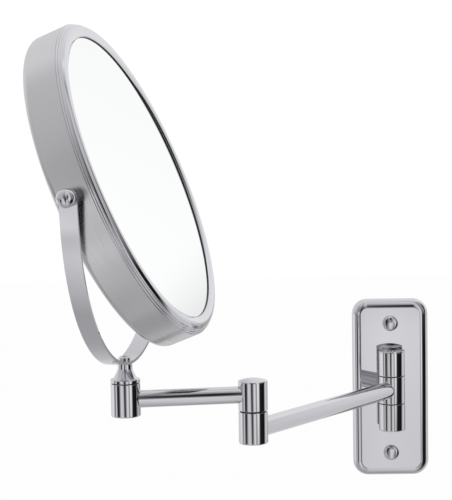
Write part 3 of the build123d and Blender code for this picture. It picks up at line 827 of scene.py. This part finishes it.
bezel = spun(
    drawn(
        (drum_inner, seam),
        (outer_step, seam),
        (outer_step, seam + step_height),
        (inner_step, seam + step_height),
        (inner_step, wall_foot),
        (wall_outer, wall_foot),
        wall_end,
        shoulder_end,
        (crown, 90 - crown_start),
        bend(slope_start, slope_middle, slope_end),
        (glass_edge, glass_front),
        (glass_radius, glass_front),
        (crown[0], crest - bezel_wall),
        (wall_outer - bezel_wall, wall_foot),
        (skirt_inner, seam),
        (skirt_inner, skirt_end),
        (drum_inner, skirt_end),
    ),
    ring_steps,
)
round_rings(
    bezel,
    (outer_step, seam + step_height, step_edge),
    (inner_step, wall_foot, step_edge),
    (*wall_end, shoulder_edge),
    (*shoulder_end, shoulder_edge),
    (*slope_end, slope_edge),
)
placed(bezel, "beaded_bezel", "front_bezel", head_frame)

# %% [markdown]
# Under the bezel's lip a thin black ring stands at the edge of the glass. Only its edge shows, as a
# fine dark line round the glass. It is a ring of four corners, set back a hair from the lip.

# %% Black ring under the lip
dark_ring_depth, dark_ring_gap = 0.15, 0.02
# A black ring under the lip. Its edge makes the dark line round the glass.
dark_ring = spun(
    drawn(
        (glass_edge - dark_ring_depth, glass_front + dark_ring_gap),
        (glass_edge - dark_ring_gap, glass_front + dark_ring_gap),
        (glass_edge - dark_ring_gap, glass_front + lip_thickness),
        (glass_edge - dark_ring_depth, glass_front + lip_thickness),
    ),
    ring_steps,
)
placed(dark_ring, "dark_lip_ring", "front_bezel", head_frame, "nylon")

# %% [markdown]
# Two glasses sit in the drum. The front one is flat. The rear one is bent to a shallow bowl, which
# makes it magnify, and its hollow side looks out.

# %% The two glasses
glass_thickness = 3.0
glass_seat = 0.6           # the flat glass starts this far in front of the seam
bowl_radius = 640.0        # the curve of the magnifying side
bowl_arc_step = 0.5        # so shallow an arc needs finer facets, in degrees
bowl_gap = 0.3             # left between the bowl and the drum's roll
glass_back = seam + glass_seat
plain = spun(
    drawn(
        (0, glass_back),
        (glass_radius, glass_back),
        (glass_radius, glass_front),
        (0, glass_front),
    ),
    ring_steps,
)
placed(plain, "plain_glass", "front_glass", head_frame)

bowl_rim = drum_radius - drum_roll - bowl_gap
bowl_angle = degrees(asin(bowl_rim / bowl_radius))
bowl_middle = lip_front + bowl_radius - sqrt(bowl_radius**2 - bowl_rim**2)
bowl = spun(
    drawn(
        (0, bowl_middle),
        ((0, bowl_middle - bowl_radius), -bowl_angle),
        (bowl_rim, lip_front + glass_thickness),
        ((0, bowl_middle + glass_thickness - bowl_radius), bowl_angle),
        facet=bowl_arc_step,
    ),
    ring_steps,
)
placed(bowl, "magnifying_bowl_glass", "magnifying_glass", head_frame)

# %% [markdown]
# ## The ball nuts
#
# A ball nut closes each pivot. It is a ball with a flat turned on it, so a sphere is cut by a plane
# and the hole is filled. The second one is the first, turned half a circle round the mirror.

# %% Ball nuts
ball_radius, ball_middle = 5.5, 3.8
strip_outer, strip_inner = 107.5, 105.7
balls = bmesh.new()
for side in (0, pi):
    ball = bmesh.new()
    bmesh.ops.create_uvsphere(ball, u_segments=64, v_segments=40, radius=ball_radius * MM)
    bmesh.ops.rotate(ball, verts=ball.verts, matrix=Matrix.Rotation(pi / 2, 3, "Y"))
    bmesh.ops.translate(ball, verts=ball.verts, vec=((strip_outer + ball_middle) * MM, 0, 0))
    bmesh.ops.bisect_plane(
        ball,
        geom=ball.verts[:] + ball.edges[:] + ball.faces[:],
        plane_co=(strip_outer * MM, 0, 0),
        plane_no=(1, 0, 0),
        clear_inner=True,
    )
    bmesh.ops.holes_fill(ball, edges=[e for e in ball.edges if e.is_boundary], sides=0)
    bmesh.ops.rotate(ball, verts=ball.verts, matrix=Matrix.Rotation(side, 3, "Z"))
    gathered(balls, ball)
bmesh.ops.recalc_face_normals(balls, faces=balls.faces)
placed(balls, "ball_nuts", "dome_nuts", head_frame)

# %% [markdown]
# ## The yoke
#
# The yoke is flat strip, bent to half a circle, with a round ear at each end. The strip's section
# is spun through half a turn. Each ear is the end face, extruded upwards in small rises and
# narrowed as a circle narrows, until its sides meet. Breaking the long edges gives the strip its
# bright line.

# %% Yoke strip
half_width = 5.25
ear_rises = 10
strip_edge = 0.35
strip = bmesh.new()
end_face = strip.faces.new(
    [
        strip.verts.new((radius * MM, 0, side * half_width * MM))
        for radius, side in (
            (strip_inner, -1), (strip_outer, -1), (strip_outer, 1), (strip_inner, 1)
        )
    ]
)
half_turn = bmesh.ops.spin(
    strip, geom=[end_face], cent=(0, 0, 0), axis=(0, 0, 1), angle=-pi, steps=ring_steps // 2
)
far_face = next(f for f in half_turn["geom_last"] if isinstance(f, bmesh.types.BMFace))
for ear in (end_face, far_face):
    for rise in range(1, ear_rises + 1):
        angle = pi / 2 * rise / ear_rises
        grown = bmesh.ops.extrude_face_region(strip, geom=[ear])
        bmesh.ops.delete(strip, geom=[ear], context="FACES")
        ear = next(f for f in grown["geom"] if isinstance(f, bmesh.types.BMFace))
        for vert in ear.verts:
            vert.co.y = half_width * sin(angle) * MM
            vert.co.z = (1 if vert.co.z > 0 else -1) * half_width * cos(angle) * MM
bmesh.ops.remove_doubles(strip, verts=strip.verts, dist=MM / 1000)
bmesh.ops.recalc_face_normals(strip, faces=strip.faces)
break_edges(strip, strip_edge, angle=55)
placed(strip, "bent_yoke_strip", "yoke_strip", yoke_frame)

# %% [markdown]
# ## The barrels
#
# Each joint of the arm is a stack of barrels on one bolt. They are the same turned bush over and
# over: a ring section, with a wider pocket below where a bolt's head sits. The edges that meet
# another barrel are broken only a little, which leaves the thin dark joint lines.

# %% Barrels
barrel_radius, bore_radius = 9.0, 3.06
head_pocket_radius, head_pocket_depth = 5.4, 4.4
swivel_recess_radius, swivel_recess_depth, bush_bore = 6.5, 6.0, 5.5
free_edge, joint_edge, button_edge_round = 0.9, 0.3, 0.1


def barrel(bottom, top, round_below, round_above, pocket=0.0, pocket_radius=head_pocket_radius,
           bore=bore_radius):
    """A turned barrel between two levels, with a pocket of some depth in its lower end."""
    lower_hole = pocket_radius if pocket else bore
    piece = spun(
        drawn(
            (lower_hole, bottom),
            (barrel_radius, bottom),
            (barrel_radius, top),
            (bore, top),
            *([(bore, bottom + pocket), (pocket_radius, bottom + pocket)] if pocket else []),
        )
    )
    round_rings(piece, (barrel_radius, bottom, round_below), (barrel_radius, top, round_above))
    return piece


middle = barrel(*heights("middle_knuckle"), joint_edge, joint_edge)
placed(middle, "hinge_middle_barrel", "middle_knuckle", hinge_frame)
lower = barrel(*heights("elbow_lower_barrel"), free_edge, joint_edge, head_pocket_depth)
placed(lower, "elbow_lower_bush", "elbow_lower_barrel", elbow_frame)
upper = barrel(*heights("elbow_upper_barrel"), joint_edge, button_edge_round)
placed(upper, "elbow_upper_bush", "elbow_upper_barrel", elbow_frame)
housing = barrel(
    *heights("swivel_barrel"),
    free_edge,
    joint_edge,
    swivel_recess_depth,
    swivel_recess_radius,
    bush_bore,
)
placed(housing, "swivel_bush_housing", "swivel_barrel", swivel_frame)

# %% [markdown]
# The two fixed barrels of the hinge stand on short round feet. A foot is a cylinder let into the
# barrel's side, and a Boolean joins the two, so that no face is left inside.

# %% Fixed barrels and their feet
foot_radius, foot_start, foot_end = 5.5, 7.0, 11.3


def as_object(piece, name):
    """A bmesh as an object, for a modifier to work on."""
    data = bpy.data.meshes.new(name)
    piece.to_mesh(data)
    piece.free()
    made = bpy.data.objects.new(name, data)
    bpy.context.scene.collection.objects.link(made)
    return made


def combined(first, second, operation):
    """Two solids made into one, without faces inside: their UNION, or the DIFFERENCE."""
    kept, other = as_object(first, "kept"), as_object(second, "other")
    boolean = kept.modifiers.new("boolean", "BOOLEAN")
    boolean.operation, boolean.solver, boolean.object = operation, "EXACT", other
    result = bmesh.new()
    result.from_object(kept, bpy.context.evaluated_depsgraph_get())
    for used in (kept, other):
        bpy.data.objects.remove(used)
    return result


def from_wall(radius, level, start, end):
    """A cylinder square to the wall at a height, between two distances from it."""
    pillar = bmesh.new()
    bmesh.ops.create_cone(
        pillar,
        cap_ends=True,
        segments=64,
        radius1=radius * MM,
        radius2=radius * MM,
        depth=(end - start) * MM,
    )
    bmesh.ops.rotate(pillar, verts=pillar.verts, matrix=Matrix.Rotation(pi / 2, 3, "X"))
    bmesh.ops.translate(pillar, verts=pillar.verts, vec=(0, -(start + end) / 2 * MM, level * MM))
    return pillar


for name, packed, rounds, pocket in (
    ("hinge_upper_barrel", "upper_knuckle", (joint_edge, joint_edge), 0.0),
    ("hinge_lower_barrel", "lower_knuckle", (free_edge, joint_edge), head_pocket_depth),
):
    bottom, top = heights(packed)
    turned = barrel(bottom, top, *rounds, pocket)
    turned.transform(hinge_frame)
    foot = from_wall(foot_radius, (bottom + top) / 2, foot_start, foot_end)
    placed(combined(turned, foot, "UNION"), name, packed, Matrix())

# %% [markdown]
# A button closes each stack. It has a short straight side, flush with its barrel, and a low dome,
# which is where the sky shows.

# %% Buttons
button_edge, button_rise = 0.8, 1.7


def dome(radius, edge, rise):
    """The arc of a dome from its rim to its crown, as a centre and degrees."""
    ball = (radius**2 + rise**2) / (2 * rise)
    return (0, edge + rise - ball), degrees(asin(radius / ball))


for name, packed, place in (
    ("hinge_button", "hinge_cap", hinge_frame),
    ("elbow_button", "elbow_cap", elbow_frame),
):
    rim = heights(packed)[1] - button_rise
    button = spun(
        drawn(
            (0, rim - button_edge),
            (barrel_radius, rim - button_edge),
            (barrel_radius, rim),
            dome(barrel_radius, rim, button_rise),
        )
    )
    round_rings(button, (barrel_radius, rim, joint_edge))
    placed(button, name, packed, place)

# %% [markdown]
# ## The arm's tubes
#
# A tube's ends are coped: cut to the round of the barrels that they are brazed to. Here a ring of
# vertices is extruded along the arm, and then each end vertex is slid along until it lies on the
# barrel. The inner wall is a second ring, and bridging the ends closes the tube.

# %% Coped tubes
tube_wall, tube_steps = 1.2, 96


def coped_tube(packed, name, start, end):
    """A tube between two upright axes, its ends cut to the barrels on them."""
    bottom, top = heights(packed)
    run = end - start
    length = run.xy.length
    piece = bmesh.new()
    walls = []
    for radius in ((top - bottom) / 2, (top - bottom) / 2 - tube_wall):
        ring = bmesh.ops.create_circle(piece, segments=tube_steps, radius=radius * MM)["verts"]
        bmesh.ops.rotate(piece, verts=ring, matrix=Matrix.Rotation(pi / 2, 3, "Y"))
        near = list({edge for vert in ring for edge in vert.link_edges})
        grown = bmesh.ops.extrude_edge_only(piece, edges=near)["geom"]
        far = [item for item in grown if isinstance(item, bmesh.types.BMEdge)]
        far_ring = {vert for edge in far for vert in edge.verts}
        for vert in ring:
            vert.co.x = sqrt((barrel_radius * MM) ** 2 - vert.co.y**2)
        for vert in far_ring:
            vert.co.x = length - sqrt((barrel_radius * MM) ** 2 - vert.co.y**2)
        walls.append((near, [e for e in far if all(v in far_ring for v in e.verts)]))
    for inner, outer in zip(walls[0], walls[1]):
        bmesh.ops.bridge_loops(piece, edges=inner + outer)
    bmesh.ops.recalc_face_normals(piece, faces=piece.faces)
    level = Vector((start.x, start.y, (bottom + top) / 2 * MM))
    across = Vector((run.x, run.y, 0)).normalized()
    return placed(piece, name, packed, frame_of(level, across, Vector((0, 0, 1))))


coped_tube("rear_arm_tube", "rear_coped_tube", hinge_axis, elbow_axis)
coped_tube("front_arm_tube", "front_coped_tube", elbow_axis, swivel_axis)

# %% [markdown]
# ## The stem
#
# Spindle, collar and flared stem are one turned piece. The flare is drawn as a bell: it leaves the
# collar almost flat and runs up into the neck. Blender's own curve function gives its points.

# %% Swivel stem
stem_foot, neck_radius, spindle_radius = 7.6, 4.45, 4.0
collar_height, stem_height, neck_height = 2.2, 9.6, 3.5
collar_edge, collar_seam_edge = 0.6, 0.15
strip_bite = 0.08          # the neck reaches this far up to meet the strip's curve
bell_points = 20
bell_handles = ((1 / 2, 1 / 3), (1 / 8, 3 / 4))    # shares of the bell's width and height
spindle_bottom, _ = heights("swivel_stem")
collar_bottom = heights("swivel_bush")[1]
collar_top = collar_bottom + collar_height
stem_top = collar_top + stem_height
neck = stem_top - neck_height
bell_height = neck - collar_top
bell = interpolate_bezier(
    Vector((stem_foot, collar_top)),
    *[
        Vector((neck_radius + (stem_foot - neck_radius) * wide, collar_top + bell_height * high))
        for wide, high in bell_handles
    ],
    Vector((neck_radius, neck)),
    bell_points,
)
stem = spun(
    drawn(
        (0, spindle_bottom),
        (spindle_radius, spindle_bottom),
        (spindle_radius, collar_bottom),
        (barrel_radius, collar_bottom),
        (barrel_radius, collar_top),
        *[(point.x, point.y) for point in bell],
        (neck_radius, stem_top + strip_bite),
        (0, stem_top + strip_bite),
    )
)
round_rings(
    stem,
    (barrel_radius, collar_bottom, collar_seam_edge),
    (barrel_radius, collar_top, collar_edge),
)
placed(stem, "flared_stem", "swivel_stem", swivel_frame)

# %% [markdown]
# ## The wall plate
#
# The plate is a casting with a flat face and a full round edge, hollow behind. A rectangle's four
# corners are beveled into arcs and it is extruded from the wall. Its face is then inset again and
# again, each time a little less and a little higher, as the quarter of a circle rises.

# %% Cushion shape of the plate
plate_width, plate_height, plate_corner, plate_depth = 52.0, 123.0, 10.5, 7.0
plate_round, plate_wall = 6.0, 2.0
edge_steps, corner_steps = 14, 16


def cushion(inset, back):
    """The plate's solid, smaller all round by an inset, that starts at a level behind the wall."""
    piece = bmesh.new()
    wide, high = plate_width / 2 - inset, plate_height / 2 - inset
    piece.faces.new(
        [
            piece.verts.new((x * wide * MM, back * MM, z * high * MM))
            for x, z in ((-1, -1), (1, -1), (1, 1), (-1, 1))
        ]
    )
    bmesh.ops.bevel(
        piece,
        geom=piece.verts[:],
        offset=(plate_corner - inset) * MM,
        segments=corner_steps,
        profile=0.5,
        affect="VERTICES",
        clamp_overlap=False,
        material=-1,
    )
    grown = bmesh.ops.extrude_face_region(piece, geom=piece.faces[:])
    face = next(item for item in grown["geom"] if isinstance(item, bmesh.types.BMFace))
    side = back + plate_depth - plate_round
    bmesh.ops.translate(piece, verts=face.verts[:], vec=(0, -side * MM, 0))
    radius = plate_round - inset
    across, rise = 0.0, 0.0
    for step in range(1, edge_steps + 1):
        angle = pi / 2 * step / edge_steps
        next_across, next_rise = radius * (1 - cos(angle)), radius * sin(angle)
        bmesh.ops.inset_region(
            piece, faces=[face], thickness=(next_across - across) * MM, use_even_offset=True
        )
        bmesh.ops.translate(piece, verts=face.verts[:], vec=(0, (rise - next_rise) * MM, 0))
        across, rise = next_across, next_rise
    bmesh.ops.recalc_face_normals(piece, faces=piece.faces)
    return piece


print("the round edge has", edge_steps, "facets")

# %% [markdown]
# The hollow is the same cushion, smaller by the thickness of the casting. Two pillars are left in
# it for the wall screws, and each has a hole and a shallow seat for its cap.

# %% Wall plate
screw_spacing, pillar_radius, hole_radius = 90.0, 5.5, 2.6
cap_radius, cap_seat, cap_gap = 5.2, 0.5, 0.1
overcut = 2.0              # a cutter stands this far past what it cuts
screw_levels = (screw_spacing / 2, -screw_spacing / 2)
hollow = cushion(plate_wall, overcut / 2)
for level in screw_levels:
    pillar = from_wall(pillar_radius, level, -overcut, plate_depth)
    hollow = combined(hollow, pillar, "DIFFERENCE")
plate = combined(cushion(0.0, 0.0), hollow, "DIFFERENCE")
for level in screw_levels:
    hole = from_wall(hole_radius, level, -overcut, plate_depth + overcut)
    plate = combined(plate, hole, "DIFFERENCE")
    seat = from_wall(cap_radius + cap_gap, level, plate_depth - cap_seat, plate_depth + overcut)
    plate = combined(plate, seat, "DIFFERENCE")
placed(plate, "cast_wall_plate", "wall_plate", Matrix())

# %% [markdown]
# The wall screws hide under snap caps: a short skirt, a bevel and a very low dome, so that the face
# of each shows one soft light with a dark ring round it. The section is turned upright and then
# tipped over, square to the wall.

# %% Screw caps
cap_face, cap_skirt, cap_bevel, cap_dome, cap_edge = 4.0, 1.4, 0.8, 0.35, 0.12
both_caps = bmesh.new()
for level in screw_levels:
    cap = spun(
        drawn(
            (0, 0),
            (cap_radius, 0),
            (cap_radius, cap_skirt),
            (cap_face, cap_skirt + cap_bevel),
            dome(cap_face, cap_skirt + cap_bevel, cap_dome),
        )
    )
    break_edges(cap, cap_edge, angle=25)
    cap.transform(
        Matrix.Translation((0, (cap_seat - plate_depth) * MM, level * MM))
        @ Matrix.Rotation(pi / 2, 4, "X")
    )
    gathered(both_caps, cap)
placed(both_caps, "domed_screw_caps", "screw_caps", Matrix())
